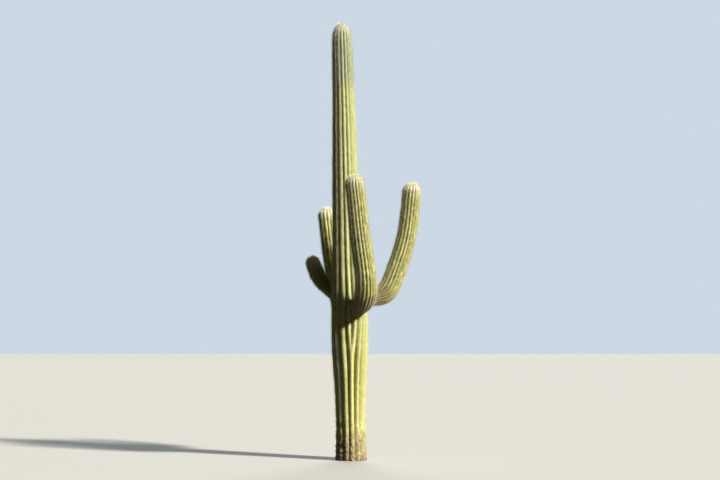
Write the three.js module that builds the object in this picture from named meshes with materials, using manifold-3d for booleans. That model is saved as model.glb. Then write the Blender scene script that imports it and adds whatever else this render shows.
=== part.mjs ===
// Saguaro cactus: a ribbed trunk that carries four ribbed arms.
// Millimetres, +Z up. The origin is the middle of the flat cut at ground level.
// The plant is seen from the front when looking along +Y, with +X to the right.
import * as THREE from "three";
import { mergeVertices } from "three/addons/utils/BufferGeometryUtils.js";
import Module from "manifold-3d";

// Trunk: its height, and the length of the rounded tip.
const TRUNK_HEIGHT = 6000;
const TRUNK_TIP_LENGTH = 260;

// Trunk: height above the ground and radius over the rib crests.
const TRUNK_GIRTH = [
  [0, 214],
  [450, 201],
  [850, 207],
  [1400, 241],
  [1750, 249],
  [2170, 241],
  [2620, 211],
  [3230, 190],
  [4030, 170],
  [4930, 148],
  [5740, 129],
];

// Trunk: height above the ground and sideways place of the axis, which leans left.
const TRUNK_LEAN = [
  [0, 0],
  [1340, -15],
  [2170, -26],
  [2620, -48],
  [3230, -66],
  [4030, -86],
  [4930, -106],
  [6000, -137],
];

// Trunk: its ribs at the top, and height above the ground and rib depth as a share of the radius.
const TRUNK_RIBS = 18;
const TRUNK_RIB_DEPTH = [
  [0, 0.07],
  [350, 0.1],
  [800, 0.16],
  [1700, 0.165],
  [2600, 0.115],
  [4000, 0.085],
  [5740, 0.08],
];

// Trunk and arms: the less this is, the broader the ribs' crests and the narrower the grooves.
const RIB_SHARPNESS = 0.8;

// Trunk: its ribs turn a little on the way up: height above the ground and the first groove's
// angle in degrees.
const RIB_TURN = [
  [0, -7],
  [1200, -7],
  [2000, -0.5],
  [6000, -0.5],
];

// Two ribs split on the way up: each named rib and the next are one rib below that height. The
// rib grows wider over the spread, and its new groove opens over the shorter length.
const RIB_SPLITS = [
  { rib: 13, height: 1600 },
  { rib: 4, height: 1950 },
];
const SPLIT_LENGTH = 420;
const SPLIT_SPREAD = 1000;

// Arms: rib depth as a share of the radius, and the rounded tip's length in tip radii.
const ARM_RIB_DEPTH = 0.115;
const NECK_RIB_DEPTH = 0.09;
const ARM_TIP_RATIO = 1.05;

// Arms: lengths along the axis, from the middle of the trunk, where the narrow neck ends and
// where the arm has swollen to its full girth.
const NECK_END = 270;
const SWOLLEN_AT = 620;

// Every arm's axis is a smooth curve through its named places. The neck is where it leaves the
// trunk, and an arm with a rise is split there into an elbow and a column.
const ARMS = [
  {
    name: "front_arm",
    places: {
      root: [-28, 5, 2050],
      neck: [84, -230, 2078],
      bend: [180, -424, 2172],
      rise: [198, -554, 2430],
      middle: [117, -566, 3080],
      tip: [40, -545, 3836],
    },
    ribs: 19,
    neckRadius: 113,
    fullRadius: 145,
    topRadius: 119,
  },
  {
    name: "right_arm",
    places: {
      root: [-28, -5, 2236],
      neck: [250, 85, 2200],
      bend: [478, 185, 2280],
      rise: [630, 245, 2605],
      middle: [776, 290, 3109],
      tip: [856, 300, 3810],
    },
    ribs: 18,
    neckRadius: 96,
    fullRadius: 138,
    topRadius: 122,
  },
  {
    name: "back_arm",
    places: {
      root: [-22, 0, 2010],
      neck: [-75, 205, 2000],
      bend: [-148, 370, 2085],
      rise: [-222, 435, 2420],
      middle: [-298, 475, 2900],
      tip: [-362, 560, 3480],
    },
    ribs: 15,
    neckRadius: 92,
    fullRadius: 118,
    topRadius: 112,
  },
  {
    name: "left_arm",
    places: {
      root: [-30, 0, 2250],
      neck: [-248, 120, 2290],
      bend: [-422, 212, 2447],
      middle: [-514, 268, 2636],
      tip: [-560, 290, 2778],
    },
    ribs: 15,
    neckRadius: 86,
    fullRadius: 104,
    topRadius: 84,
  },
];

// Faces: how many there are across one rib, and how far apart the rings of points lie.
const FACES_PER_RIB = 4;
const TRUNK_RING_STEP = 205;
const COLUMN_RING_STEP = 190;
const ELBOW_RING_STEP = 82;
const TIP_RINGS = 5;
const AXIS_STEPS_PER_SPAN = 120;

// An arm's mesh starts inside the trunk before the cut, and pieces that meet keep a gap.
const ARM_START = 90;
const SEAM_GAP = 0.3;
const TRUNK_CLEARANCE = 0.5;

// Skin colours of the trunk and the arms.
const TRUNK_COLOUR = 0xa4a46a;
const ARM_COLOUR = 0x9f9a66;
const SKIN_ROUGHNESS = 0.75;

const manifoldLibrary = await Module();
manifoldLibrary.setup();

const { clamp, lerp, smoothstep } = THREE.MathUtils;

// Reads a table of [place, value] rows as one smooth curve.
function readTable(table, place) {
  const last = table.length - 1;
  const slope = (index) => {
    const before = table[Math.max(index - 1, 0)];
    const after = table[Math.min(index + 1, last)];
    return (after[1] - before[1]) / (after[0] - before[0]);
  };
  const at = clamp(place, table[0][0], table[last][0]);
  let row = 0;
  while (row < last - 1 && at > table[row + 1][0]) row += 1;
  const [start, startValue] = table[row];
  const [end, endValue] = table[row + 1];
  const step = end - start;
  const t = (at - start) / step;
  const rise = endValue - startValue;
  const leaving = slope(row) * step;
  const arriving = slope(row + 1) * step;
  return startValue + leaving * t + (3 * rise - 2 * leaving - arriving) * t ** 2
    + (leaving + arriving - 2 * rise) * t ** 3;
}

// How deep the surface lies at a phase across one rib: 1 in a groove, 0 on the crest.
function grooveShare(phase) {
  return 1 - Math.sin(Math.PI * phase) ** RIB_SHARPNESS;
}

// Evenly spaced places along a stretch, both ends included.
function evenPlaces(start, end, step) {
  const count = Math.max(1, Math.round((end - start) / step));
  return Array.from({ length: count + 1 }, (_, index) => lerp(start, end, index / count));
}

// Rings of a rounded tip: how far along the tip each lies and its share of the tip's radius.
function tipRings() {
  return Array.from({ length: TIP_RINGS }, (_, index) => {
    const angle = (Math.PI / 2) * (index + 1) / (TIP_RINGS + 1);
    return { along: Math.sin(angle), share: Math.cos(angle) };
  });
}

// One closed body: rings of points joined by faces, with a middle point at each end.
function closedBody(rings, lowMiddle, highMiddle) {
  const size = rings[0].length;
  const points = [...rings.flat(), lowMiddle, highMiddle];
  const low = points.length - 2;
  const high = points.length - 1;
  const faces = [];
  for (let k = 0; k < size; k += 1) {
    const next = (k + 1) % size;
    faces.push(low, next, k);
    for (let ring = 0; ring < rings.length - 1; ring += 1) {
      const below = ring * size;
      const above = below + size;
      faces.push(below + k, below + next, above + next);
      faces.push(below + k, above + next, above + k);
    }
    const top = (rings.length - 1) * size;
    faces.push(high, top + k, top + next);
  }
  const geometry = new THREE.BufferGeometry().setFromPoints(points);
  geometry.setIndex(faces);
  geometry.computeVertexNormals();
  return geometry;
}

// How far each split rib has parted at a height: 0 below its split, 1 above it.
function partedAt(height, length) {
  const parted = new Array(TRUNK_RIBS).fill(1);
  for (const split of RIB_SPLITS) {
    const start = split.height - length / 2;
    const share = smoothstep(height, start, start + length);
    parted[split.rib] = share;
    parted[split.rib + 1] = share;
  }
  return parted;
}

// Points round the trunk, as an angle and how deep the ribs lie there. Two joined ribs are half as
// wide each, and share one crest.
function trunkSection(height) {
  const parted = partedAt(height, SPLIT_LENGTH);
  const widths = partedAt(height, SPLIT_SPREAD).map((share) => lerp(0.5, 1, share));
  const total = widths.reduce((sum, width) => sum + width, 0);
  const section = [];
  let start = THREE.MathUtils.degToRad(readTable(RIB_TURN, height));
  for (let rib = 0; rib < TRUNK_RIBS; rib += 1) {
    const width = (2 * Math.PI * widths[rib]) / total;
    const isSecond = RIB_SPLITS.some((split) => split.rib + 1 === rib);
    for (let step = 0; step < FACES_PER_RIB; step += 1) {
      const phase = step / FACES_PER_RIB;
      const joinedPhase = (isSecond ? 0.5 : 0) + phase / 2;
      const groove = lerp(grooveShare(joinedPhase), grooveShare(phase), parted[rib]);
      section.push({ angle: start + width * phase, groove });
    }
    start += width;
  }
  return section;
}

// A level ring of points round the trunk's axis.
function trunkRing(height, crestRadius, grown) {
  const ribDepth = readTable(TRUNK_RIB_DEPTH, height);
  const middle = readTable(TRUNK_LEAN, height);
  return trunkSection(height).map(({ angle, groove }) => {
    const radius = crestRadius * (1 - ribDepth * groove) + grown;
    return new THREE.Vector3(middle + radius * Math.cos(angle), radius * Math.sin(angle), height);
  });
}

// The trunk from its flat foot to its rounded tip, made larger all round by grown.
function trunkBody(grown = 0) {
  const tipStart = TRUNK_HEIGHT - TRUNK_TIP_LENGTH;
  const rings = evenPlaces(0, tipStart, TRUNK_RING_STEP)
    .map((height) => trunkRing(height, readTable(TRUNK_GIRTH, height), grown));
  for (const { along, share } of tipRings()) {
    const height = tipStart + TRUNK_TIP_LENGTH * along;
    rings.push(trunkRing(height, readTable(TRUNK_GIRTH, tipStart) * share, grown));
  }
  const foot = new THREE.Vector3(0, 0, 0);
  const tip = new THREE.Vector3(readTable(TRUNK_LEAN, TRUNK_HEIGHT), 0, TRUNK_HEIGHT + grown);
  return closedBody(rings, foot, tip);
}

// An arm's axis, with its length and, where it has a rise, the length at which its column begins.
function armAxis(arm) {
  const names = Object.keys(arm.places);
  const places = names.map((name) => new THREE.Vector3(...arm.places[name]));
  const curve = new THREE.CatmullRomCurve3(places, false, "catmullrom");
  curve.arcLengthDivisions = AXIS_STEPS_PER_SPAN * (places.length - 1);
  const lengths = curve.getLengths();
  const length = lengths[lengths.length - 1];
  const riseAt = lengths[AXIS_STEPS_PER_SPAN * names.indexOf("rise")];
  const out = new THREE.Vector3().subVectors(places[2], places[0]).setZ(0).normalize();
  return { curve, length, riseAt, sideways: new THREE.Vector3(-out.y, out.x, 0) };
}

// An arm's radius over the crests, before its tip is rounded.
function armRadius(arm, axis, along) {
  const swell = smoothstep(along, NECK_END, SWOLLEN_AT);
  const taper = clamp((along - SWOLLEN_AT) / (axis.length - SWOLLEN_AT), 0, 1);
  return lerp(arm.neckRadius, lerp(arm.fullRadius, arm.topRadius, taper), swell);
}

// A ring of points square to the arm's axis.
function armRing(arm, axis, along, radiusShare = 1) {
  const middle = axis.curve.getPointAt(along / axis.length);
  const tangent = axis.curve.getTangentAt(along / axis.length);
  const alongTangent = axis.sideways.dot(tangent);
  const across = axis.sideways.clone().addScaledVector(tangent, -alongTangent).normalize();
  const outward = new THREE.Vector3().crossVectors(tangent, across);
  const crestRadius = armRadius(arm, axis, along) * radiusShare;
  const ribDepth = lerp(NECK_RIB_DEPTH, ARM_RIB_DEPTH, smoothstep(along, NECK_END, SWOLLEN_AT));
  const size = arm.ribs * FACES_PER_RIB;
  return Array.from({ length: size }, (_, k) => {
    const angle = (2 * Math.PI * k) / size;
    const groove = grooveShare((k % FACES_PER_RIB) / FACES_PER_RIB);
    const radius = crestRadius * (1 - ribDepth * groove);
    return middle.clone()
      .addScaledVector(across, radius * Math.cos(angle))
      .addScaledVector(outward, radius * Math.sin(angle));
  });
}

// A stretch of an arm between two lengths along its axis, each end flat and square to it.
function armStretch(arm, axis, start, end, step) {
  const rings = evenPlaces(start, end, step).map((along) => armRing(arm, axis, along));
  const middleAt = (along) => axis.curve.getPointAt(along / axis.length);
  return closedBody(rings, middleAt(start), middleAt(end));
}

// The rest of an arm from one length along its axis, ending in its rounded tip.
function armEnd(arm, axis, start, step) {
  const tipLength = arm.topRadius * ARM_TIP_RATIO;
  const tipStart = axis.length - tipLength;
  const rings = evenPlaces(start, tipStart, step).map((along) => armRing(arm, axis, along));
  for (const { along, share } of tipRings()) {
    rings.push(armRing(arm, axis, tipStart + tipLength * along, share));
  }
  const middleAt = (along) => axis.curve.getPointAt(along / axis.length);
  return closedBody(rings, middleAt(start), middleAt(axis.length));
}

// A closed geometry as a solid that can be cut.
function toSolid(geometry) {
  const bare = geometry.clone();
  bare.deleteAttribute("normal");
  const merged = mergeVertices(bare);
  return new manifoldLibrary.Manifold(new manifoldLibrary.Mesh({
    numProp: 3,
    vertProperties: new Float32Array(merged.getAttribute("position").array),
    triVerts: new Uint32Array(merged.getIndex().array),
  }));
}

// A cut solid as a geometry again.
function toGeometry(solid) {
  const mesh = solid.getMesh();
  const geometry = new THREE.BufferGeometry();
  geometry.setAttribute("position", new THREE.BufferAttribute(mesh.vertProperties, 3));
  geometry.setIndex(new THREE.BufferAttribute(mesh.triVerts, 1));
  geometry.computeVertexNormals();
  return geometry;
}

// A named piece of the plant with its own skin material.
function piece(name, geometry, colour) {
  const material = new THREE.MeshStandardMaterial({
    color: colour,
    roughness: SKIN_ROUGHNESS,
    metalness: 0,
  });
  const mesh = new THREE.Mesh(geometry, material);
  mesh.name = name;
  return mesh;
}

// The pieces of one arm: its foot is cut to the trunk's ribs, and a long arm has two pieces.
function armPieces(arm, trunkSpace) {
  const axis = armAxis(arm);
  const cutToTrunk = (geometry) => toGeometry(toSolid(geometry).subtract(trunkSpace));
  if (!("rise" in arm.places)) {
    const whole = cutToTrunk(armEnd(arm, axis, ARM_START, ELBOW_RING_STEP));
    return [piece(arm.name, whole, ARM_COLOUR)];
  }
  const elbowEnd = axis.riseAt - SEAM_GAP / 2;
  const columnStart = axis.riseAt + SEAM_GAP / 2;
  const elbow = cutToTrunk(armStretch(arm, axis, ARM_START, elbowEnd, ELBOW_RING_STEP));
  const column = armEnd(arm, axis, columnStart, COLUMN_RING_STEP);
  return [
    piece(`${arm.name}_elbow`, elbow, ARM_COLOUR),
    piece(`${arm.name}_column`, column, ARM_COLOUR),
  ];
}

const saguaro = new THREE.Group();
saguaro.add(piece("trunk", trunkBody(), TRUNK_COLOUR));
const trunkSpace = toSolid(trunkBody(TRUNK_CLEARANCE));
for (const arm of ARMS) {
  saguaro.add(...armPieces(arm, trunkSpace));
}

export default saguaro;
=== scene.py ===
"""A saguaro cactus: ribbed skins on the trunk and four arms, with felt cushions and spines on every rib."""
import math

import bpy
import numpy as np
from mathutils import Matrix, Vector


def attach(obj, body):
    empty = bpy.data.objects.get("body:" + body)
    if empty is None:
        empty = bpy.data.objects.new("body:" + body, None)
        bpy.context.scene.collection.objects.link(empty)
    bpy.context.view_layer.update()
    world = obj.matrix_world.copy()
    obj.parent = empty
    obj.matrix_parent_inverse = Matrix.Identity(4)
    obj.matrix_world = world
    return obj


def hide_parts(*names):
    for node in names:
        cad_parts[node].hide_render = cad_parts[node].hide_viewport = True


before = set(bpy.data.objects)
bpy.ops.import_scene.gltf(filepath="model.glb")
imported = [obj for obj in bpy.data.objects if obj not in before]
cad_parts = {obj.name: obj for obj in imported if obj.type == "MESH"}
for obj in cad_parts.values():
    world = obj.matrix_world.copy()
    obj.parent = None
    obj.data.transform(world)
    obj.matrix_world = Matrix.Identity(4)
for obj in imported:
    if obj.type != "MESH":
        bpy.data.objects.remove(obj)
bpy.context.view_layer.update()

# Trunk: its height and rounded tip, in metres, and its radius over the rib crests by height.
TRUNK_HEIGHT = 6.0
TRUNK_TIP_LENGTH = 0.26
TRUNK_GIRTH = (
    (0.0, 0.214), (0.45, 0.201), (0.85, 0.207), (1.4, 0.241), (1.75, 0.249), (2.17, 0.241),
    (2.62, 0.211), (3.23, 0.19), (4.03, 0.17), (4.93, 0.148), (5.74, 0.129),
)

# Trunk: how far its axis leans sideways, by height.
TRUNK_LEAN = (
    (0.0, 0.0), (1.34, -0.015), (2.17, -0.026), (2.62, -0.048),
    (3.23, -0.066), (4.03, -0.086), (4.93, -0.106), (6.0, -0.137),
)

# Trunk: its ribs, their depth as a share of the radius by height, and the two places where a rib
# splits into two on the way up, by the rib's number and the height. The rib grows wider over the
# spread, and its new groove opens over the shorter length. The second of the two gets spines of its
# own once they have parted by a share. All ribs turn a little on the way up, by height and degrees.
TRUNK_RIBS = 18
TRUNK_RIB_DEPTH = (
    (0.0, 0.07), (0.35, 0.1), (0.8, 0.16), (1.7, 0.165), (2.6, 0.115), (4.0, 0.085), (5.74, 0.08),
)
RIB_TURN = ((0.0, -7.0), (1.2, -7.0), (2.0, -0.5), (6.0, -0.5))
RIB_SPLITS = ((13, 1.6), (4, 1.95))
SPLIT_LENGTH = 0.42
SPLIT_SPREAD = 1.0
PARTED_ENOUGH = 0.35

# Trunk: narrow waists that past seasons left, as height and depth as a share of the radius.
TRUNK_WAISTS = ((1.58, 0.014), (4.85, 0.016), (5.09, 0.024))
WAIST_LENGTH = 0.028

# Arms: rib depth, neck and tip, with lengths along the axis from the middle of the trunk.
ARM_RIB_DEPTH = 0.115
NECK_RIB_DEPTH = 0.09
ARM_TIP_RATIO = 1.05
NECK_END = 0.27
SWOLLEN_AT = 0.62
ARM_START = 0.17

# Arms: the places that each axis passes, its ribs, its radii at the neck, the full stretch and
# the tip, and the nodes that its skin stands for.
ARMS = {
    "front_arm": {
        "places": (
            (-0.028, 0.005, 2.05), (0.084, -0.23, 2.078), (0.18, -0.424, 2.172),
            (0.198, -0.554, 2.43), (0.117, -0.566, 3.08), (0.04, -0.545, 3.836),
        ),
        "ribs": 19,
        "radii": (0.113, 0.145, 0.119),
        "nodes": ("front_arm_elbow", "front_arm_column"),
    },
    "right_arm": {
        "places": (
            (-0.028, -0.005, 2.236), (0.25, 0.085, 2.2), (0.478, 0.185, 2.28),
            (0.63, 0.245, 2.605), (0.776, 0.29, 3.109), (0.856, 0.3, 3.81),
        ),
        "ribs": 18,
        "radii": (0.096, 0.138, 0.122),
        "nodes": ("right_arm_elbow", "right_arm_column"),
    },
    "back_arm": {
        "places": (
            (-0.022, 0.0, 2.01), (-0.075, 0.205, 2.0), (-0.148, 0.37, 2.085),
            (-0.222, 0.435, 2.42), (-0.298, 0.475, 2.9), (-0.362, 0.56, 3.48),
        ),
        "ribs": 15,
        "radii": (0.092, 0.118, 0.112),
        "nodes": ("back_arm_elbow", "back_arm_column"),
    },
    "left_arm": {
        "places": (
            (-0.03, 0.0, 2.25), (-0.248, 0.12, 2.29), (-0.422, 0.212, 2.447),
            (-0.514, 0.268, 2.636), (-0.56, 0.29, 2.778),
        ),
        "ribs": 15,
        "radii": (0.086, 0.104, 0.084),
        "nodes": ("left_arm",),
    },
}

# Ribs: the less their sharpness, the broader their crests and the narrower their grooves. They
# wander sideways by a share of a rib, and their depth, the girth and the skin vary a little.
RIB_SHARPNESS = 0.8
RIB_WANDER = 0.075
RIB_DEPTH_VARIES = 0.1
SKIN_LUMPS = 0.0016
GIRTH_VARIES = 0.006
BARK_RELIEF = 0.003
BARK_FULL_BELOW = 0.1
BARK_ENDS = 0.55

# Noises: how often each changes round a limb, how far apart it changes along it, and, for the fine
# ones, how many waves it has.
WANDER_NOISE = (5, 0.9)
DEPTH_NOISE = (7, 0.8)
GIRTH_NOISE = (0, 0.28)
LUMP_NOISE = (14, 0.09, 16)
BARK_NOISE = (26, 0.05, 24)

# The trunk swells round the foot of each arm, and each arm flares where it meets the trunk.
SWELL_HEIGHT = 0.014
SWELL_REACH = 0.15
FLARE = 0.14
FLARE_LENGTH = 0.05

# Skin mesh: faces across one rib, and the distance between rings. For baking it is laid out in
# strips with a margin, and the points at its two ends lie a little outside them. The patterns of
# the skin are never wound tighter than round the smallest radius.
TRUNK_FACES_PER_RIB = 10
ARM_FACES_PER_RIB = 8
RING_STEP = 0.0125
TRUNK_BAKE_STRIPS = 2
ARM_BAKE_STRIPS = 1
BAKE_MARGIN = 0.01
BAKE_ENDS_OUT = 0.004
SMALLEST_PATTERN_RADIUS = 0.02

# Spine cushions: their spacing on a rib, closer near the tips, and their size. Both vary by a
# factor. The felt of the young ones near the tips is cream.
CUSHION_SPACING = 0.0235
SPACING_FACTORS = (0.93, 1.07)
ROW_END = 0.02
TIP_CROWDING = 0.62
CROWDED_LENGTH = 0.35
CUSHION_LENGTH = 0.0066
CUSHION_WIDTH = 0.0048
CUSHION_HEIGHT = 0.0032
CUSHION_FACTORS = (0.8, 1.2)
CUSHION_SIDES = 6
CREAM_FELT_LENGTH = 0.35

# Spines, lying round a cushion, standing up from it, and more where it is young or bristly:
# how many, the degrees that they rise from the skin, their length and their thickness, which
# varies by a factor.
SPINE_KINDS = {
    "lying": (8, (10, 38), (0.014, 0.024), 0.0008),
    "standing": (6, (45, 86), (0.022, 0.038), 0.0011),
    "bristles": (8, (28, 80), (0.018, 0.036), 0.0009),
}
SPINE_FACTORS = (0.8, 1.15)
SPINE_SIDES = 3

# Where spines start: out from the cushion's middle, as a share of its width, and sunk into the
# skin. Round the cushion they stray by a share of the angle between two of them.
SPINE_FOOT_OUT = 0.5
SPINE_FOOT_SUNK = 0.001
SPINE_STRAY = 0.35

# Vigour, a factor on the length of a cushion's spines: it varies, and is greater where bristly.
VIGOUR = (0.85, 1.1)
BRISTLY_VIGOUR = 0.1

# How fast youth fades below a growing tip, between which distances from it a spine grows old, how
# far down the trunk and the arms are bristly, and how many cushions there have bristles.
YOUTH_LENGTH = 0.2
AGEING = (0.4, 4.0)
TRUNK_BRISTLY_LENGTH = 0.92
ARM_BRISTLY_LENGTH = 0.24
BRISTLY_FADE = 0.1
BRISTLED_CUSHIONS = 0.8

# Spine colours, in sRGB from 0 to 255, and the share of the spines that gets each: of any spines,
# and what youth, age, old bristles and browning add to that. Only old spines on the arms brown.
SPINE_COLOURS = {
    "cream": ((250, 248, 232), (0.2, 3.2, 0.0, 0.0, 0.0)),
    "straw": ((230, 221, 180), (0.32, 0.0, 0.0, -0.16, -0.3)),
    "gold": ((212, 197, 142), (0.22, 0.0, -0.08, -0.1, 0.0)),
    "grey": ((190, 198, 190), (0.18, 0.0, 0.22, 0.4, 0.0)),
    "brown": ((160, 140, 108), (0.08, 0.0, 0.0, 0.1, 1.0)),
}
ARM_BROWN_SPINES = 0.3

# Near the ground cushions and spines are worn: up to which heights, by which share the spines are
# shorter and the cushions fewer, and how low the lowest stand.
WORN_BELOW = 0.1
WHOLE_ABOVE = 0.8
SPINES_WORN_OFF = 0.4
CUSHIONS_LOST = 0.5
LOWEST_CUSHION = 0.03
LOWEST_SPINE_FOOT = 0.004
LOWEST_SPINE_TIP = 0.002

# Woolly cap on each growing tip: its faces, the outer and the inner end of its rings as shares of
# the radius and of the reach, its height, how far its rim is sunk and its middle raised, and its
# lumps, which are closer together than the skin's.
FELT_AROUND = 48
FELT_RINGS = 10
FELT_REACH = 0.42
FELT_INNER_END = 0.04
FELT_HEIGHT = 0.007
FELT_SUNK = 0.002
FELT_RAISED = 0.001
FELT_LUMPS = 0.35
FELT_LUMPS_CLOSER = 3

# Light: the direction of each lamp and its softness in degrees, its strength and its tint. The
# key is warm and stands at the front right, the back lamp is cool. The fill comes from all round.
LAMPS = {
    "key": {"turn": -30, "rise": 32, "softness": 5, "strength": 8.0, "tint": (1.0, 0.94, 0.82)},
    "back": {"turn": 84, "rise": 35, "softness": 40, "strength": 2.4, "tint": (0.9, 0.96, 1.0)},
}
FILL_STRENGTH = 0.07

# Camera and floor: where the camera stands and aims, its lens in millimetres, and half the
# floor's width.
CAMERA_PLACE = (0.12, -19.5, 1.9)
CAMERA_AIM = (0.12, 0.0, 3.0)
CAMERA_LENS = 71.0
FLOOR_HALF = 60.0

# Random draws: the seed of the plant and of its trunk, and how far apart those of the arms are.
SEED = 20
ARM_SEEDS_APART = 100


def smooth_step(value, low, high):
    """Rises smoothly from 0 at low to 1 at high."""
    t = np.clip((value - low) / (high - low), 0, 1)
    return t * t * (3 - 2 * t)


def cubic(start, end, leaving, arriving, t):
    """A curve from start to end, as t goes from 0 to 1, with given slopes at both."""
    rise = end - start
    return (start + leaving * t + (3 * rise - 2 * leaving - arriving) * t**2
            + (leaving + arriving - 2 * rise) * t**3)


def read_table(table, place):
    """Reads (place, value) rows as one smooth curve."""
    places, values = np.array(table).T
    rows = np.arange(len(places))
    before, after = np.maximum(rows - 1, 0), np.minimum(rows + 1, rows[-1])
    slopes = (values[after] - values[before]) / (places[after] - places[before])
    at = np.clip(place, places[0], places[-1])
    row = np.clip(np.searchsorted(places, at, side="right") - 1, 0, len(places) - 2)
    step = places[row + 1] - places[row]
    t = (at - places[row]) / step
    return cubic(values[row], values[row + 1], slopes[row] * step, slopes[row + 1] * step, t)


def unit(arrows):
    """Arrows of length 1."""
    return arrows / np.maximum(np.linalg.norm(arrows, axis=-1, keepdims=True), 1e-9)


def make_noise(seed, rounds, length, count=10):
    """Makes a smooth seeded noise on a limb, about -1 to 1, that closes round it.

    rounds is how often it changes round the limb, and length is how far apart it changes along it.
    """
    rng = np.random.default_rng(seed)
    around = rng.integers(-rounds, rounds + 1, count)
    steps = rng.uniform(0.35, 1.0, count) * rng.choice((-1, 1), count) / length
    phases = rng.uniform(0, 2 * np.pi, count)

    def noise(along, share):
        total = 0
        for turn, step, phase in zip(around, steps, phases):
            total = total + np.sin(2 * np.pi * (turn * share + step * along) + phase)
        return total / math.sqrt(count)

    return noise


def groove_share(phase):
    """How deep the surface lies at a phase across one rib: 1 in a groove, 0 on the crest."""
    return 1 - np.clip(np.sin(np.pi * phase), 0, 1) ** RIB_SHARPNESS


class Limb:
    """One ribbed limb. Places on it are a length along its axis and a turn, counted in ribs.

    Each kind of limb has its own name, nodes, ribs, length, tip length, start and bristly length,
    and its own crest_radius; rib_depth, as a share of that radius; axis, with two directions square
    to it; and section, which gives the angle at each turn and how deep the surface lies there.
    """

    brown_spines = 0.0

    def __init__(self, seed):
        self.tip_start = self.length - self.tip_length
        self.wander = make_noise(seed, *WANDER_NOISE)
        self.depth_noise = make_noise(seed + 1, *DEPTH_NOISE)
        self.girth_noise = make_noise(seed + 2, *GIRTH_NOISE)
        self.lumps = make_noise(seed + 3, *LUMP_NOISE)
        self.measure_surface()
        rng = np.random.default_rng(seed + 4)
        self.rows = [self.row_places(rng) for _ in range(self.ribs)]

    def measure_surface(self):
        """Keeps how far the surface runs from the start for each length along the axis."""
        steps = 4000
        tip_share = np.sin(np.linspace(0, np.pi / 2, steps))
        straight = np.linspace(self.start, self.tip_start, steps)
        rounded = self.tip_start + (self.length - self.tip_start) * tip_share[1:]
        self.along_table = np.append(straight, rounded)
        radius = self.crest_radius(self.along_table)
        travelled = np.hypot(np.diff(self.along_table), np.diff(radius))
        self.surface_table = np.append(0, np.cumsum(travelled))
        self.surface_length = self.surface_table[-1]

    def row_places(self, rng):
        """The places of the spine cushions on one rib, as distances run over the surface."""
        surface = CUSHION_SPACING * rng.uniform(0, 1)
        places = []
        while surface < self.surface_length - ROW_END:
            places.append(surface)
            crowding = smooth_step(self.surface_length - surface, 0, CROWDED_LENGTH)
            spacing = CUSHION_SPACING * (TIP_CROWDING + (1 - TIP_CROWDING) * crowding)
            surface += spacing * rng.uniform(*SPACING_FACTORS)
        return np.array(places)

    def bristly(self, from_tip):
        """How bristly the skin is, from 0 to 1, by the distance from the tip."""
        return smooth_step(from_tip, self.bristly_length + BRISTLY_FADE, self.bristly_length - BRISTLY_FADE)

    def along_at(self, surface):
        """The length along the axis at a distance run over the surface."""
        return np.interp(surface, self.surface_table, self.along_table)

    def from_tip(self, along):
        """The distance over the surface down from the growing tip."""
        return self.surface_length - np.interp(along, self.along_table, self.surface_table)

    def tip_rounding(self, along):
        """The share of the radius that is left as the tip rounds off."""
        share = np.clip((along - self.tip_start) / (self.length - self.tip_start), 0, 1)
        return np.sqrt(1 - share**2)

    def surface(self, along, turn):
        """Points of the skin, and how near each lies to a rib's crest, from 0 to 1."""
        share = turn / self.ribs
        wandered = turn + RIB_WANDER * self.wander(along, share)
        angle, groove = self.section(along, wandered)
        depth = self.rib_depth(along) * (1 + RIB_DEPTH_VARIES * self.depth_noise(along, share))
        girth = self.crest_radius(along) * (1 + GIRTH_VARIES * self.girth_noise(along, share))
        radius = girth * (1 - depth * groove)
        radius = radius + SKIN_LUMPS * self.lumps(along, share) * self.tip_rounding(along)
        radius = np.maximum(radius + self.own_relief(along, share), 0)
        middle, across, outward = self.axis(along)
        flat = across * np.cos(angle)[..., None] + outward * np.sin(angle)[..., None]
        points = middle + flat * radius[..., None]
        points = points + self.swelling(points, flat)
        return points, 1 - groove

    def own_relief(self, along, share):
        """Relief that only one kind of limb has."""
        return 0

    def swelling(self, points, flat):
        """How far the skin is pushed out, as arrows."""
        return 0

    def cushion_turns(self, rib, along):
        """The turn at which a rib's row of cushions runs."""
        return np.full_like(along, rib + 0.5)

    def has_cushions(self, rib, along):
        """Whether a rib has a row of its own at each length."""
        return np.ones_like(along, bool)


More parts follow.
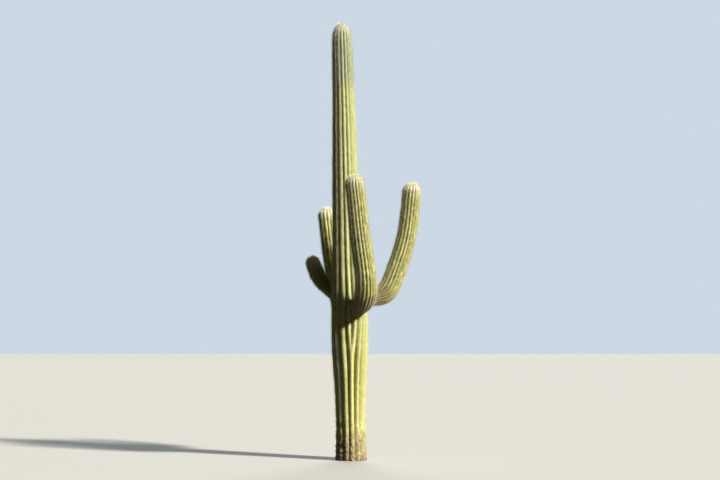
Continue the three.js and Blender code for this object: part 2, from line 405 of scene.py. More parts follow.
class Trunk(Limb):
    """The trunk, whose lengths along the axis are heights above the ground."""

    name = "trunk"
    nodes = ("trunk",)
    ribs = TRUNK_RIBS
    length = TRUNK_HEIGHT
    tip_length = TRUNK_TIP_LENGTH
    start = 0.0
    bristly_length = TRUNK_BRISTLY_LENGTH
    second_ribs = [first + 1 for first, _ in RIB_SPLITS]

    def __init__(self, arm_feet, seed):
        super().__init__(seed)
        self.arm_feet = arm_feet
        self.bark = make_noise(seed + 9, *BARK_NOISE)
        for second in self.second_ribs:
            self.rows[second] = self.rows[second - 1]

    def crest_radius(self, along):
        radius = read_table(TRUNK_GIRTH, np.minimum(along, self.tip_start))
        for height, depth in TRUNK_WAISTS:
            radius = radius * (1 - depth * np.exp(-(((along - height) / WAIST_LENGTH) ** 2)))
        return radius * self.tip_rounding(along)

    def rib_depth(self, along):
        return read_table(TRUNK_RIB_DEPTH, along)

    def axis(self, along):
        middle = np.stack([read_table(TRUNK_LEAN, along), np.zeros_like(along), along], -1)
        return middle, np.array((1.0, 0.0, 0.0)), np.array((0.0, 1.0, 0.0))

    def parted(self, along, length):
        """How far each rib has parted from the one that it joins: 0 below the split, 1 above it."""
        parted = np.ones(np.shape(along) + (self.ribs,))
        for rib, height in RIB_SPLITS:
            share = smooth_step(along, height - length / 2, height + length / 2)
            parted[..., rib:rib + 2] = share[..., None]
        return parted

    def section(self, along, turn):
        """The section, in which two joined ribs are half as wide each."""
        parted = self.parted(along, SPLIT_LENGTH)
        widths = 0.5 + 0.5 * self.parted(along, SPLIT_SPREAD)
        widths = widths * (2 * np.pi / widths.sum(-1, keepdims=True))
        ends = np.cumsum(widths, -1)
        rib = np.floor(turn).astype(int)
        phase = turn - rib
        rib = rib % self.ribs
        lap = np.floor(turn / self.ribs)
        width, end, own = (
            np.take_along_axis(values, rib[..., None], -1)[..., 0] for values in (widths, ends, parted)
        )
        first_groove = np.radians(read_table(RIB_TURN, along))
        angle = first_groove + 2 * np.pi * lap + end - width * (1 - phase)
        second = np.isin(rib, self.second_ribs)
        joined = groove_share(phase / 2 + np.where(second, 0.5, 0))
        return angle, joined + (groove_share(phase) - joined) * own

    def own_relief(self, along, share):
        """Corky relief near the ground."""
        return BARK_RELIEF * self.bark(along, share) * (1 - smooth_step(along, BARK_FULL_BELOW, BARK_ENDS))

    def swelling(self, points, flat):
        """The trunk is thicker round the foot of each arm."""
        pushed = 0
        for foot in self.arm_feet:
            distance = np.linalg.norm(points - foot, axis=-1)
            pushed = pushed + SWELL_HEIGHT * np.exp(-((distance / SWELL_REACH) ** 2))
        return flat * pushed[..., None]

    def cushion_turns(self, rib, along):
        """Joined ribs share one row, which runs on their common crest."""
        turn = super().cushion_turns(rib, along)
        for second in self.second_ribs:
            if rib in (second - 1, second):
                own = self.parted(along, SPLIT_LENGTH)[..., rib]
                turn = second + (turn - second) * own
        return turn

    def has_cushions(self, rib, along):
        """The second of two joined ribs has no row of its own until they have parted."""
        if rib in self.second_ribs:
            return self.parted(along, SPLIT_LENGTH)[..., rib] > PARTED_ENOUGH
        return super().has_cushions(rib, along)


class Arm(Limb):
    """An arm, whose axis is a smooth curve through its named places."""

    start = ARM_START
    bristly_length = ARM_BRISTLY_LENGTH
    brown_spines = ARM_BROWN_SPINES

    def __init__(self, name, places, ribs, radii, nodes, seed):
        self.name = name
        self.nodes = nodes
        self.ribs = ribs
        self.radii = radii
        self.path, self.lengths = smooth_path(np.array(places))
        self.length = self.lengths[-1]
        self.tip_length = radii[2] * ARM_TIP_RATIO
        out = self.path[len(self.path) // 3] - self.path[0]
        self.sideways = unit(np.array((-out[1], out[0], 0.0)))
        super().__init__(seed)

    def crest_radius(self, along):
        neck, full, top = self.radii
        taper = np.clip((along - SWOLLEN_AT) / (self.length - SWOLLEN_AT), 0, 1)
        swollen = full + (top - full) * taper
        radius = neck + (swollen - neck) * smooth_step(along, NECK_END, SWOLLEN_AT)
        flare = 1 + FLARE * np.exp(-(((along - NECK_END) / FLARE_LENGTH) ** 2))
        return radius * flare * self.tip_rounding(along)

    def rib_depth(self, along):
        return NECK_RIB_DEPTH + (ARM_RIB_DEPTH - NECK_RIB_DEPTH) * smooth_step(along, NECK_END, SWOLLEN_AT)

    def axis(self, along):
        step = 0.004
        middle = self.on_path(along)
        tangent = unit(self.on_path(along + step) - self.on_path(along - step))
        across = unit(self.sideways - tangent * (tangent @ self.sideways)[..., None])
        return middle, across, np.cross(tangent, across)

    def on_path(self, along):
        """Points of the axis, which runs on straight past its tip."""
        inside = np.clip(along, 0, self.lengths[-1])
        point = np.stack([np.interp(inside, self.lengths, self.path[:, k]) for k in range(3)], -1)
        return point + unit(self.path[-1] - self.path[-2]) * (along - inside)[..., None]

    def section(self, along, turn):
        """The section, in which all ribs are alike."""
        return 2 * np.pi * turn / self.ribs, groove_share(turn - np.floor(turn))


def smooth_path(places):
    """A smooth curve through places, with the length run at each of its points."""
    steps = 200
    t = np.linspace(0, 1, steps, endpoint=False)[:, None]
    ends = np.vstack([2 * places[0] - places[1], places, 2 * places[-1] - places[-2]])
    points = []
    for k in range(len(places) - 1):
        before, start, end, after = ends[k:k + 4]
        points.append(cubic(start, end, (end - before) / 2, (after - start) / 2, t))
    path = np.vstack(points + [places[-1:]])
    travelled = np.linalg.norm(np.diff(path, axis=0), axis=1)
    return path, np.append(0, np.cumsum(travelled))


def new_object(name, data):
    """Puts a new object in the scene."""
    thing = bpy.data.objects.new(name, data)
    bpy.context.scene.collection.objects.link(thing)
    return thing


def new_mesh(name, points, faces, smooth):
    """A mesh object from arrays: faces is a list of arrays, each with faces of one size."""
    mesh = bpy.data.meshes.new(name)
    mesh.vertices.add(len(points))
    mesh.vertices.foreach_set("co", np.ascontiguousarray(points, np.float32).ravel())
    corners = np.concatenate([group.ravel() for group in faces])
    sizes = np.concatenate([np.full(len(group), group.shape[1]) for group in faces])
    starts = np.append(0, np.cumsum(sizes)[:-1])
    mesh.loops.add(len(corners))
    mesh.loops.foreach_set("vertex_index", corners.astype(np.int32))
    mesh.polygons.add(len(sizes))
    mesh.polygons.foreach_set("loop_start", starts.astype(np.int32))
    mesh.polygons.foreach_set("use_smooth", np.full(len(sizes), smooth))
    mesh.update(calc_edges=True)
    mesh.validate()
    return new_object(name, mesh)


def add_attribute(piece, name, values):
    """Gives a mesh one number or one arrow at each of its points, for its material."""
    kind, field = ("FLOAT", "value") if values.ndim == 1 else ("FLOAT_VECTOR", "vector")
    attribute = piece.data.attributes.new(name, kind, "POINT")
    attribute.data.foreach_set(field, np.ascontiguousarray(values, np.float32).ravel())


def tube_faces(rings, around):
    """The faces of a closed tube: quads between its rings, and a fan at its foot and at its tip.

    The middle of the foot and of the tip are the two points that follow those of the rings.
    """
    ring = np.arange(rings - 1)[:, None] * around
    step = np.arange(around)
    following = (step + 1) % around
    quads = np.stack([ring + step, ring + following, ring + around + following, ring + around + step], -1)
    last_ring = (rings - 1) * around
    middle = np.full(around, rings * around)
    foot = np.stack([middle, following, step], -1)
    tip = np.stack([middle + 1, last_ring + step, last_ring + following], -1)
    return quads.reshape(-1, 4), foot, tip


def skin_mesh(limb, faces_per_rib, strips):
    """The closed ribbed skin of one limb, with what its material reads."""
    around = limb.ribs * faces_per_rib
    rings = int(limb.surface_length / RING_STEP)
    surface = np.linspace(0, limb.surface_length - RING_STEP / 2, rings)
    turn_steps = np.arange(around) / faces_per_rib
    along, turn = np.meshgrid(limb.along_at(surface), turn_steps, indexing="ij")
    points, crest = limb.surface(along, turn)
    ends, _, _ = limb.axis(np.array([along[0, 0], limb.length]))
    points = np.vstack([points.reshape(-1, 3), ends])
    piece = new_mesh(limb.name + "_skin", points, tube_faces(rings, around), True)
    add_skin_attributes(piece, limb, surface, along, turn, crest)
    add_bake_map(piece, rings, around, strips)
    return piece


def add_skin_attributes(piece, limb, surface, along, turn, crest):
    """Gives a skin what its material reads, with the values at the middle of its foot and its tip."""
    row_numbers = [np.interp(surface, row, np.arange(len(row))) for row in limb.rows]
    row = np.stack(row_numbers, 1)[:, np.floor(turn[0]).astype(int)]
    from_tip = limb.from_tip(along)
    numbers = {
        "crest": (crest, 0.0, 1.0),
        "row": (row, 0.0, row[-1, 0]),
        "from_tip": (from_tip, limb.surface_length, 0.0),
        "bristly": (limb.bristly(from_tip), 0.0, 1.0),
    }
    for name, (values, at_foot, at_tip) in numbers.items():
        add_attribute(piece, name, np.append(values.ravel(), (at_foot, at_tip)))
    ends = np.array(((0, 0, along[0, 0]), (0, 0, limb.length)))
    add_attribute(piece, "straight", np.vstack([straightened(limb, along, turn).reshape(-1, 3), ends]))


def straightened(limb, along, turn):
    """The skin's points as they would lie if the limb were straight, for patterns that follow it."""
    angle = 2 * np.pi * turn / limb.ribs
    radius = np.maximum(limb.crest_radius(along), SMALLEST_PATTERN_RADIUS)
    return np.stack([radius * np.cos(angle), radius * np.sin(angle), along], -1)


def add_bake_map(piece, rings, around, strips):
    """Lays the skin out flat in upright strips, side by side, with the fans of its ends outside."""
    rings_per_strip = math.ceil((rings - 1) / strips)
    inner = 1 - 2 * BAKE_MARGIN

    def place(strip, ring, step, outside=0.0):
        u = (strip + BAKE_MARGIN + inner * step / around) / strips
        v = BAKE_MARGIN + inner * (ring - strip * rings_per_strip) / rings_per_strip + outside
        return np.stack(np.broadcast_arrays(u, v), -1)

    ring = np.arange(rings - 1)[:, None]
    step = np.arange(around)
    strip = ring // rings_per_strip
    quads = [place(strip, ring + up, step + right) for up, right in ((0, 0), (0, 1), (1, 1), (1, 0))]
    foot = [place(0, 0, step + 0.5, -BAKE_ENDS_OUT), place(0, 0, step + 1), place(0, 0, step)]
    last = (strips - 1, rings - 1)
    tip = [place(*last, step + 0.5, BAKE_ENDS_OUT), place(*last, step), place(*last, step + 1)]
    corners = np.vstack([np.stack(faces, -2).reshape(-1, 2) for faces in (quads, foot, tip)])
    layer = piece.data.uv_layers.new(name="OFBake")
    layer.data.foreach_set("uv", corners.astype(np.float32).ravel())


def cushion_places(limb):
    """The length along the axis and the turn of each spine cushion on one limb."""
    places = []
    for rib in range(limb.ribs):
        along = limb.along_at(limb.rows[rib])
        room = limb.crest_radius(along) * 2 * np.pi / limb.ribs
        kept = limb.has_cushions(rib, along) & (room > 2 * CUSHION_WIDTH)
        places.append(np.stack([along, limb.cushion_turns(rib, along)])[:, kept])
    along, turn = np.concatenate(places, 1)
    turn = turn - RIB_WANDER * limb.wander(along, turn / limb.ribs)
    return along, turn


def cushion_frames(limb, along, turn):
    """Each cushion's place on the skin, with its outward, upward and sideways directions."""
    small_along, small_turn = 0.002, 0.02
    point, _ = limb.surface(along, turn)
    up = unit(limb.surface(along + small_along, turn)[0] - limb.surface(along - small_along, turn)[0])
    side = limb.surface(along, turn + small_turn)[0] - limb.surface(along, turn - small_turn)[0]
    outward = unit(np.cross(side, up))
    return {"point": point, "outward": outward, "up": up, "side": np.cross(up, outward)}


def circle(across, up, sides):
    """Points round each of many middles, from two arrows that span the circle."""
    angle = (np.arange(sides) * 2 * np.pi / sides)[:, None]
    return across[:, None] * np.cos(angle) + up[:, None] * np.sin(angle)


def mesh_of_copies(name, points, shape, smooth):
    """One mesh of many small forms, which each have their own points and the same faces."""
    count, points_each = points.shape[:2]
    faces = shape[None] + (np.arange(count) * points_each)[:, None, None]
    return new_mesh(name, points.reshape(-1, 3), [faces.reshape(-1, 3)], smooth)


def cushion_mesh(name, cushions, rng):
    """Small oval felt cushions, each a closed pad of a few faces sunk a little into the rib."""
    point, outward, up, side = (cushions[key] for key in ("point", "outward", "up", "side"))
    size = rng.uniform(*CUSHION_FACTORS, (len(point), 1, 1))
    rim = point[:, None] + size * circle(CUSHION_WIDTH * side, CUSHION_LENGTH * up, CUSHION_SIDES)
    top = point[:, None] + size * CUSHION_HEIGHT * outward[:, None]
    bottom = point[:, None] - CUSHION_HEIGHT * outward[:, None]
    _, lower, upper = tube_faces(1, CUSHION_SIDES)
    return mesh_of_copies(name, np.concatenate([rim, bottom, top], 1), np.vstack([lower, upper]), True)


def spine_arrays(cushions, kind, rng):
    """Spines of one kind from every cushion: where each starts, its arrow, thickness and age."""
    number, lift, lengths, radius = SPINE_KINDS[kind]
    cushion_count = len(cushions["point"])
    count = cushion_count * number
    index = np.repeat(np.arange(cushion_count), number)
    place = np.tile(np.arange(number), cushion_count) + rng.uniform(-SPINE_STRAY, SPINE_STRAY, count)
    turn = 2 * np.pi * place / number
    turn = turn + np.repeat(rng.uniform(0, 2 * np.pi, cushion_count), number)
    rise = np.radians(rng.uniform(*lift, count))
    flat = (cushions["side"][index] * np.cos(turn)[:, None] + cushions["up"][index] * np.sin(turn)[:, None])
    arrow = flat * np.cos(rise)[:, None] + cushions["outward"][index] * np.sin(rise)[:, None]
    length = rng.uniform(*lengths, count) * cushions["vigour"][index]
    foot = cushions["point"][index] + SPINE_FOOT_OUT * CUSHION_WIDTH * flat
    return {
        "foot": foot - SPINE_FOOT_SUNK * cushions["outward"][index],
        "arrow": arrow * length[:, None],
        "radius": radius * rng.uniform(*SPINE_FACTORS, count),
        **{key: cushions[key][index] for key in ("from_tip", "bristly", "brown")},
    }


def spine_mesh(name, spines):
    """Spines as slim closed points, joined into one mesh."""
    foot, arrow, radius = spines["foot"], spines["arrow"], spines["radius"]
    direction = unit(arrow)
    upright = np.abs(direction[:, 2:]) > 0.8
    not_along_it = np.where(upright, (1.0, 0.0, 0.0), (0.0, 0.0, 1.0))
    across = unit(np.cross(direction, not_along_it))
    ring = circle(across, np.cross(direction, across), SPINE_SIDES)
    base = foot[:, None] + ring * radius[:, None, None]
    points = np.concatenate([base, (foot + arrow)[:, None]], 1)
    k = np.arange(SPINE_SIDES)
    sides = np.stack([k, (k + 1) % SPINE_SIDES, np.full(SPINE_SIDES, SPINE_SIDES)], -1)
    return mesh_of_copies(name, points, np.vstack([sides, [[2, 1, 0]]]), False)


def tip_felt(limb):
    """The woolly middle of one growing tip: the points and triangles of a low lumpy cap."""
    reach = FELT_REACH * limb.crest_radius(np.array([limb.tip_start]))[0]
    surface = limb.surface_length - np.linspace(reach, reach * FELT_INNER_END, FELT_RINGS)
    turn_steps = np.arange(FELT_AROUND) * limb.ribs / FELT_AROUND
    along, turn = np.meshgrid(limb.along_at(surface), turn_steps, indexing="ij")
    points, _ = limb.surface(along, turn)
    share = np.linspace(0, 1, FELT_RINGS)[:, None]
    _, across, outward = limb.axis(along)
    up = np.cross(across, outward)
    lumps = 1 + FELT_LUMPS * limb.lumps(along * FELT_LUMPS_CLOSER, turn / limb.ribs)
    height = FELT_HEIGHT * np.sin(share * np.pi / 2) * lumps - FELT_SUNK * (share == 0)
    points = (points + up * height[..., None]).reshape(-1, 3)
    below = points[:FELT_AROUND].mean(0)
    top = points[-FELT_AROUND:].mean(0) + (0, 0, FELT_RAISED)
    sides, under, cap = tube_faces(FELT_RINGS, FELT_AROUND)
    triangles = np.concatenate([sides[:, [0, 1, 2]], sides[:, [0, 2, 3]], under, cap])
    return np.vstack([points, below, top]), triangles


class Nodes:
    """A tree of shader nodes that is built up step by step."""

    def __init__(self, tree):
        self.tree = tree

    def node(self, kind, values=None, **settings):
        """Adds a node, with its settings and its input values or links."""
        node = self.tree.nodes.new(kind)
        for name, value in settings.items():
            setattr(node, name, value)
        for name, value in (values or {}).items():
            self.feed(node.inputs[name], value)
        return node

    def feed(self, socket, value):
        """Links a socket to another node's output, or sets its number or colour."""
        if isinstance(value, bpy.types.NodeSocket):
            self.tree.links.new(value, socket)
        else:
            socket.default_value = value

    def attribute(self, name, output="Fac"):
        """A number or arrow that the mesh holds at its points."""
        return self.node("ShaderNodeAttribute", attribute_name=name).outputs[output]

    def math(self, operation, first, second=0.0):
        """One sum, product or cosine."""
        return self.node("ShaderNodeMath", {0: first, 1: second}, operation=operation).outputs[0]

    def third(self, arrow):
        """The third part of an arrow."""
        return self.node("ShaderNodeSeparateXYZ", {0: arrow}).outputs["Z"]

    def height(self):
        """The height above the ground."""
        return self.third(self.node("ShaderNodeNewGeometry").outputs["Position"])

    def fade(self, value, low, high):
        """Rises smoothly from 0 at low to 1 at high, or falls where low is the larger."""
        values = {"Value": value, "From Min": low, "From Max": high}
        return self.node("ShaderNodeMapRange", values, interpolation_type="SMOOTHSTEP").outputs["Result"]

    def noise(self, vector, scale, detail, roughness):
        """A cloudy pattern from 0 to 1."""
        values = {"Vector": vector, "Scale": scale, "Detail": detail, "Roughness": roughness}
        return self.node("ShaderNodeTexNoise", values).outputs["Fac"]

    def stretch(self, vector, scale):
        """Stretches the coordinates of a pattern."""
        return self.node("ShaderNodeMapping", {"Vector": vector, "Scale": scale}).outputs["Vector"]

    def mix(self, share, first, second):
        """Mixes two colours: the share is that of the second."""
        node = self.node("ShaderNodeMix", data_type="RGBA")
        self.feed(node.inputs[0], share)
        self.feed(node.inputs[6], first)
        self.feed(node.inputs[7], second)
        return node.outputs[2]

    def tint(self, base, where, most, over):
        """Lays a colour over the base where a pattern is strong, up to a share."""
        return self.mix(self.math("MULTIPLY", where, most), base, over)

    def bump(self, height, distance, strength, under=None):
        """Relief too fine for the mesh."""
        values = {"Height": height, "Distance": distance, "Strength": strength}
        if under is not None:
            values["Normal"] = under
        return self.node("ShaderNodeBump", values).outputs["Normal"]


class Shader(Nodes):
    """The nodes of one material."""

    def __init__(self, name):
        self.material = bpy.data.materials.new(name)
        self.material.use_nodes = True
        super().__init__(self.material.node_tree)
        self.surface = self.tree.nodes["Principled BSDF"]

    def finish(self, **inputs):
        """Sets the surface's own inputs, named with underscores for spaces."""
        for name, value in inputs.items():
            self.feed(self.surface.inputs[name.replace("_", " ")], value)
        return self.material


def colour(red, green, blue):
    """An sRGB colour from 0 to 255 as the linear colour that Blender works with."""
    def linear(part):
        share = part / 255
        return share / 12.92 if share <= 0.04045 else ((share + 0.055) / 1.055) ** 2.4
    return (linear(red), linear(green), linear(blue), 1.0)


class SkinShader(Shader):
    """Waxy green skin, whose patterns follow the limb as if it were straight."""

    def __init__(self, name):
        super().__init__(name)
        self.straight = self.attribute("straight", "Vector")
        self.crest = self.attribute("crest")
        self.on_crest = self.fade(self.crest, 0.84, 0.99)
        turn = self.math("MULTIPLY", self.attribute("row"), 2 * math.pi)
        self.knobs = self.math("MULTIPLY", self.fade(self.math("COSINE", turn), -0.6, 1.0), self.on_crest)
        self.blotches = self.noise(self.straight, 5.0, 4.0, 0.6)
        self.dapples = self.noise(self.straight, 17.0, 2.0, 0.5)
        self.mottle = self.noise(self.straight, 85.0, 3.0, 0.6)
        self.streaks = self.noise(self.stretch(self.straight, (26.0, 26.0, 2.2)), 1.0, 3.0, 0.55)
        self.wrinkles = self.noise(self.stretch(self.straight, (14.0, 14.0, 150.0)), 1.0, 3.0, 0.55)

    def green(self, flank, groove, pale, dappled):
        """Green flanks between darker grooves, whose darkening is partly painted shade, with streaks,
        blotches, dapples and pale crests.
        """
        # The flank colour darkens into the groove colour toward each groove. This partly paints the shade
        # that falls in the grooves.
        skin = self.mix(self.fade(self.crest, 0.0, 0.5), groove, flank)
        skin = self.tint(skin, self.fade(self.streaks, 0.5, 0.75), 0.4, pale)
        skin = self.tint(skin, self.fade(self.blotches, 0.5, 0.3), 0.45, groove)
        skin = self.tint(skin, self.fade(self.dapples, 0.5, 0.34), dappled, groove)
        skin = self.tint(skin, self.fade(self.dapples, 0.52, 0.68), dappled, pale)
        skin = self.tint(skin, self.fade(self.mottle, 0.42, 0.7), 0.22, pale)
        skin = self.tint(skin, self.on_crest, 0.45, pale)
        return self.tint(skin, self.knobs, 0.5, pale)

    def aged(self, skin, bristle, young, neck_cork_and_shade):
        """Yellower low down; brown at the neck, darkened there as painted shade under the elbows; greyer
        where it is bristly, with a dark blue-grey in the trunk's grooves that partly paints sky-lit shade;
        and pale at the tip.
        """
        sunburnt = self.fade(self.math("ADD", self.height(), self.blotches), 2.9, 1.5)
        skin = self.tint(skin, sunburnt, 0.35, colour(214, 200, 114))
        ragged_length = self.math("ADD", self.third(self.straight), self.math("MULTIPLY", self.blotches, 0.5))
        # Brown cork at the neck, made dark enough to paint the shade under the elbows.
        skin = self.tint(skin, self.fade(ragged_length, 1.02, 0.64), neck_cork_and_shade, colour(84, 66, 34))
        # Bristly skin is pale on the crests and takes the bristle colour in the grooves. On the trunk, that
        # colour's dark blue-grey partly paints the sky-lit shade at the top.
        bristles = self.tint(bristle, self.fade(self.crest, 0.45, 0.98), 0.5, young)
        skin = self.tint(skin, self.attribute("bristly"), 0.6, bristles)
        return self.tint(skin, self.fade(self.attribute("from_tip"), 0.27, 0.0), 0.9, young)

    def cork(self):
        """Grey-brown cork in upright plates: its colour, its cracks, and how far it covers the skin."""
        upright = self.stretch(self.straight, (1.0, 1.0, 0.35))
        plates = {"Vector": upright, "Scale": 34.0}
        from_edge = self.node("ShaderNodeTexVoronoi", plates, feature="DISTANCE_TO_EDGE").outputs["Distance"]
        cracks = self.fade(from_edge, 0.0, 0.09)
        tone = self.noise(upright, 22.0, 4.0, 0.6)
        plate_colour = self.mix(self.fade(tone, 0.35, 0.7), colour(138, 122, 90), colour(174, 158, 120))
        cork_colour = self.mix(cracks, colour(90, 77, 54), plate_colour)
        ragged_height = self.math("ADD", self.height(), self.math("MULTIPLY", self.blotches, 1.1))
        ragged_height = self.math("ADD", ragged_height, self.math("MULTIPLY", tone, 0.5))
        return cork_colour, cracks, self.fade(ragged_height, 1.38, 0.85)

    def relief(self, cracks, corky):
        """Fine wrinkles across the ribs, grains, a knob under each cushion, and cracks in the cork."""
        relief = self.bump(self.wrinkles, 0.0025, 0.6)
        relief = self.bump(self.mottle, 0.0012, 0.5, relief)
        relief = self.bump(self.knobs, 0.0022, 0.6, relief)
        return self.bump(self.math("MULTIPLY", cracks, corky), 0.004, 0.7, relief)


def skin_material(name, flank, groove, pale, bristle, young, dappled, neck_cork_and_shade):
    """The skin of one kind of limb, green and aged above, and corky at the foot.

    dappled is how strong its dapples are, and neck_cork_and_shade how brown the limb's neck is, a brown that
    is partly cork and partly painted shade under the elbow.
    """
    shader = SkinShader(name)
    green = shader.green(flank, groove, pale, dappled)
    aged = shader.aged(green, bristle, young, neck_cork_and_shade)
    cork, cracks, corky = shader.cork()
    gloss = shader.node("ShaderNodeMapRange", {"Value": shader.mottle, "To Min": 0.48, "To Max": 0.72})
    return shader.finish(
        Base_Color=shader.mix(corky, aged, cork),
        Roughness=gloss.outputs["Result"],
        Normal=shader.relief(cracks, corky),
        Specular_IOR_Level=0.35,
    )


def felt_material(name, base):
    """Short matt felt in one plain colour."""
    shader = Shader(name)
    place = shader.node("ShaderNodeTexCoord").outputs["Object"]
    fibres = shader.noise(place, 900.0, 2.0, 0.6)
    return shader.finish(
        Base_Color=base,
        Roughness=0.95,
        Normal=shader.bump(fibres, 0.001, 0.7),
        Sheen_Weight=0.25,
    )


def spine_material(name, base):
    """A dry stiff spine in one plain colour, with fine rings along it."""
    shader = Shader(name)
    place = shader.node("ShaderNodeTexCoord").outputs["Object"]
    rings = shader.noise(place, 1500.0, 1.0, 0.5)
    gloss = shader.node("ShaderNodeMapRange", {"Value": rings, "To Min": 0.4, "To Max": 0.6})
    return shader.finish(
        Base_Color=base,
        Roughness=gloss.outputs["Result"],
        Normal=shader.bump(rings, 0.0002, 0.4),
    )


def dress(piece, material, slot, *nodes):
    """Gives a piece its material and its body, and hides the nodes that it stands for. Its slot is not used.
    """
    piece.data.materials.append(material)
    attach(piece, "root")
    if nodes:
        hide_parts(*nodes)


def make_limbs():
    """The arms and the trunk, which swells round the arms' feet."""
    arms = [
        Arm(name, seed=SEED + ARM_SEEDS_APART * number, **arm)
        for number, (name, arm) in enumerate(ARMS.items(), 1)
    ]
    feet = [np.array(arm["places"][1]) for arm in ARMS.values()]
    return Trunk(feet, SEED), arms


def make_skins(trunk, arms):
    """The ribbed skins, which stand for the trunk and the arms."""
    trunk_skin = skin_material(
        "saguaro_trunk_skin",
        flank=colour(158, 168, 106),
        # A darker green in the grooves, partly painted shade.
        groove=colour(114, 124, 68),
        pale=colour(216, 216, 166),
        # A dark blue-grey among the trunk's top bristles, partly painted sky-lit shade.
        bristle=colour(88, 102, 76),
        young=colour(240, 246, 242),
        dappled=0.2,
        neck_cork_and_shade=0.0,
    )
    arm_skin = skin_material(
        "saguaro_arm_skin",
        flank=colour(148, 156, 88),
        # A darker green in the grooves, partly painted shade.
        groove=colour(82, 88, 38),
        pale=colour(214, 209, 146),
        bristle=colour(166, 164, 124),
        young=colour(248, 248, 228),
        dappled=0.65,
        # Dark neck brown: partly cork, partly painted shade under the elbows.
        neck_cork_and_shade=0.8,
    )
    dress(skin_mesh(trunk, TRUNK_FACES_PER_RIB, TRUNK_BAKE_STRIPS), trunk_skin, "trunk_skin", *trunk.nodes)
    for arm in arms:
        dress(skin_mesh(arm, ARM_FACES_PER_RIB, ARM_BAKE_STRIPS), arm_skin, "arm_skin", *arm.nodes)


def pick(arrays, chosen):
    """The rows of several arrays that are chosen."""
    return {key: value[chosen] for key, value in arrays.items()}


def join(parts):
    """Joins sets of arrays, name by name."""
    return {key: np.concatenate([part[key] for part in parts]) for key in parts[0]}


def gather_cushions(limbs, rng):
    """All spine cushions of the plant, as arrays."""
    parts = []
    for limb in limbs:
        along, turn = cushion_places(limb)
        places = cushion_frames(limb, along, turn)
        height = places["point"][:, 2]
        from_tip = limb.from_tip(along)
        bristly = limb.bristly(from_tip)
        vigour = rng.uniform(*VIGOUR, len(along)) + BRISTLY_VIGOUR * bristly
        worn = 1 - smooth_step(height, WORN_BELOW, WHOLE_ABOVE)
        part = {
            **places,
            "from_tip": from_tip,
            "bristly": bristly,
            "brown": np.full(len(along), limb.brown_spines),
            "vigour": vigour * (1 - SPINES_WORN_OFF * worn),
        }
        clear = (height > LOWEST_CUSHION) & (rng.uniform(0, 1, len(along)) > CUSHIONS_LOST * worn)
        parts.append(pick(part, clear))
    return join(parts)


def make_cushions(cushions, rng):
    """Grey felt on old ribs and cream felt near the growing tips."""
    young = rng.uniform(0, 1, len(cushions["point"])) < np.exp(-cushions["from_tip"] / CREAM_FELT_LENGTH)
    felts = {"grey": (~young, colour(164, 152, 124)), "cream": (young, colour(214, 204, 166))}
    for name, (chosen, base) in felts.items():
        piece = cushion_mesh("cushions_" + name, pick(cushions, chosen), rng)
        dress(piece, felt_material("felt_" + name, base), "spine_cushion")


def keep_above_ground(spines):
    """Raises the feet and then the tips of spines that would reach into the ground."""
    foot, arrow = spines["foot"], spines["arrow"]
    foot[:, 2] = np.maximum(foot[:, 2], LOWEST_SPINE_FOOT)
    tip_height = foot[:, 2] + arrow[:, 2]
    arrow[:, 2] += np.maximum(LOWEST_SPINE_TIP - tip_height, 0)


def deal_colours(spines, rng):
    """Each spine's place in the list of spine colours, dealt out by its age and its limb."""
    youth = np.exp(-spines["from_tip"] / YOUTH_LENGTH)
    age = smooth_step(spines["from_tip"], *AGEING)
    old_bristle = spines["bristly"] * (1 - youth)
    old_brown = spines["brown"] * (1 - youth)
    causes = (np.ones_like(age), youth**2, age, old_bristle, old_brown)
    shares = np.array([shares for _, shares in SPINE_COLOURS.values()])
    weights = sum(cause[:, None] * added for cause, added in zip(causes, shares.T))
    limits = np.cumsum(weights / weights.sum(-1, keepdims=True), -1)
    return (rng.uniform(0, 1, (len(age), 1)) > limits[:, :-1]).sum(-1)


def make_spines(cushions, rng):
    """All spines, in one piece for each of their plain colours."""
    youth = np.exp(-cushions["from_tip"] / YOUTH_LENGTH)
    bristled = rng.uniform(0, 1, len(youth)) < np.maximum(youth, BRISTLED_CUSHIONS * cushions["bristly"])
    bearers = {"lying": cushions, "standing": cushions, "bristles": pick(cushions, bristled)}
    spines = join([spine_arrays(bearer, kind, rng) for kind, bearer in bearers.items()])
    keep_above_ground(spines)
    dealt = deal_colours(spines, rng)
    for number, (name, (base, _)) in enumerate(SPINE_COLOURS.items()):
        piece = spine_mesh("spines_" + name, pick(spines, dealt == number))
        dress(piece, spine_material("spine_" + name, colour(*base)), "spine")


def make_tip_felt(limbs):
    """The woolly caps of all growing tips, joined into one mesh."""
    all_points, all_faces, first = [], [], 0
    for limb in limbs:
        points, faces = tip_felt(limb)
        all_points.append(points)
        all_faces.append(faces + first)
        first += len(points)
    piece = new_mesh("tip_felt", np.vstack(all_points), [np.concatenate(all_faces)], True)
    dress(piece, felt_material("felt_tip", colour(238, 241, 230)), "spine_cushion")


def make_floor():
    """A plain pale floor, which throws no light back up, so that shaded sides stay dark."""
    corners = FLOOR_HALF * np.array(((-1, -1, 0), (1, -1, 0), (1, 1, 0), (-1, 1, 0)))
    floor = new_mesh("floor", corners, [np.array([[0, 1, 2, 3]])], False)
    shader = Shader("floor_pale")
    place = shader.node("ShaderNodeTexCoord").outputs["Object"]
    grain = shader.noise(place, 40.0, 3.0, 0.5)
    pale = shader.mix(grain, colour(172, 172, 170), colour(178, 178, 176))
    floor.data.materials.append(shader.finish(Base_Color=pale, Roughness=0.95, Specular_IOR_Level=0.05))
    floor.visible_diffuse = False


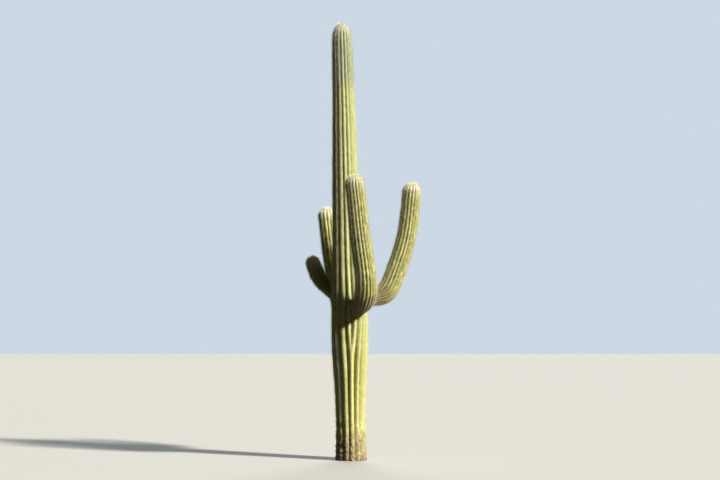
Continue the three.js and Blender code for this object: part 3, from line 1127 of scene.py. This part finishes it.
def make_world():
    """A plain pale backdrop, and a dimmer fill that is cool from above and warm from below."""
    world = bpy.data.worlds.new("studio")
    bpy.context.scene.world = world
    world.use_nodes = True
    world.node_tree.nodes.clear()
    nodes = Nodes(world.node_tree)
    direction = nodes.node("ShaderNodeTexCoord").outputs["Generated"]
    span = {"Value": nodes.third(direction), "From Min": -0.2, "From Max": 0.5}
    upward = nodes.node("ShaderNodeMapRange", span).outputs["Result"]
    fill_colour = nodes.mix(upward, colour(196, 174, 84), colour(202, 213, 222))
    fill = nodes.node("ShaderNodeBackground", {"Color": fill_colour, "Strength": FILL_STRENGTH})
    backdrop = nodes.node("ShaderNodeBackground", {"Color": colour(204, 216, 228)})
    seen = nodes.node("ShaderNodeLightPath").outputs["Is Camera Ray"]
    chosen = nodes.node("ShaderNodeMixShader", {0: seen, 1: fill.outputs[0], 2: backdrop.outputs[0]})
    nodes.node("ShaderNodeOutputWorld", {"Surface": chosen.outputs[0]})


def make_lamp(name, turn, rise, softness, strength, tint):
    """A far lamp with soft-edged shadows. turn is its direction round the plant, rise its height."""
    light = bpy.data.lights.new(name, "SUN")
    light.energy = strength
    light.angle = math.radians(softness)
    light.color = tint
    turn, rise = math.radians(turn), math.radians(rise)
    level = math.cos(rise)
    towards_light = Vector((level * math.cos(turn), level * math.sin(turn), math.sin(rise)))
    new_object(name, light).rotation_euler = towards_light.to_track_quat("Z", "Y").to_euler()


def make_camera():
    """Looks along +Y from a standing eye, takes in the whole plant and shows colours as they are."""
    camera = bpy.data.cameras.new("camera")
    camera.lens = CAMERA_LENS
    camera.sensor_width = 36.0
    camera.clip_end = 300.0
    holder = new_object("camera", camera)
    holder.location = CAMERA_PLACE
    line_of_sight = Vector(CAMERA_AIM) - Vector(CAMERA_PLACE)
    holder.rotation_euler = line_of_sight.to_track_quat("-Z", "Y").to_euler()
    bpy.context.scene.camera = holder
    bpy.context.scene.view_settings.view_transform = "Standard"


make_camera()
make_world()
for lamp_name, lamp in LAMPS.items():
    make_lamp(lamp_name, **lamp)
make_floor()
rng = np.random.default_rng(SEED)
trunk, arms = make_limbs()
limbs = [trunk, *arms]
make_skins(trunk, arms)
cushions = gather_cushions(limbs, rng)
make_cushions(cushions, rng)
make_spines(cushions, rng)
make_tip_felt(limbs)
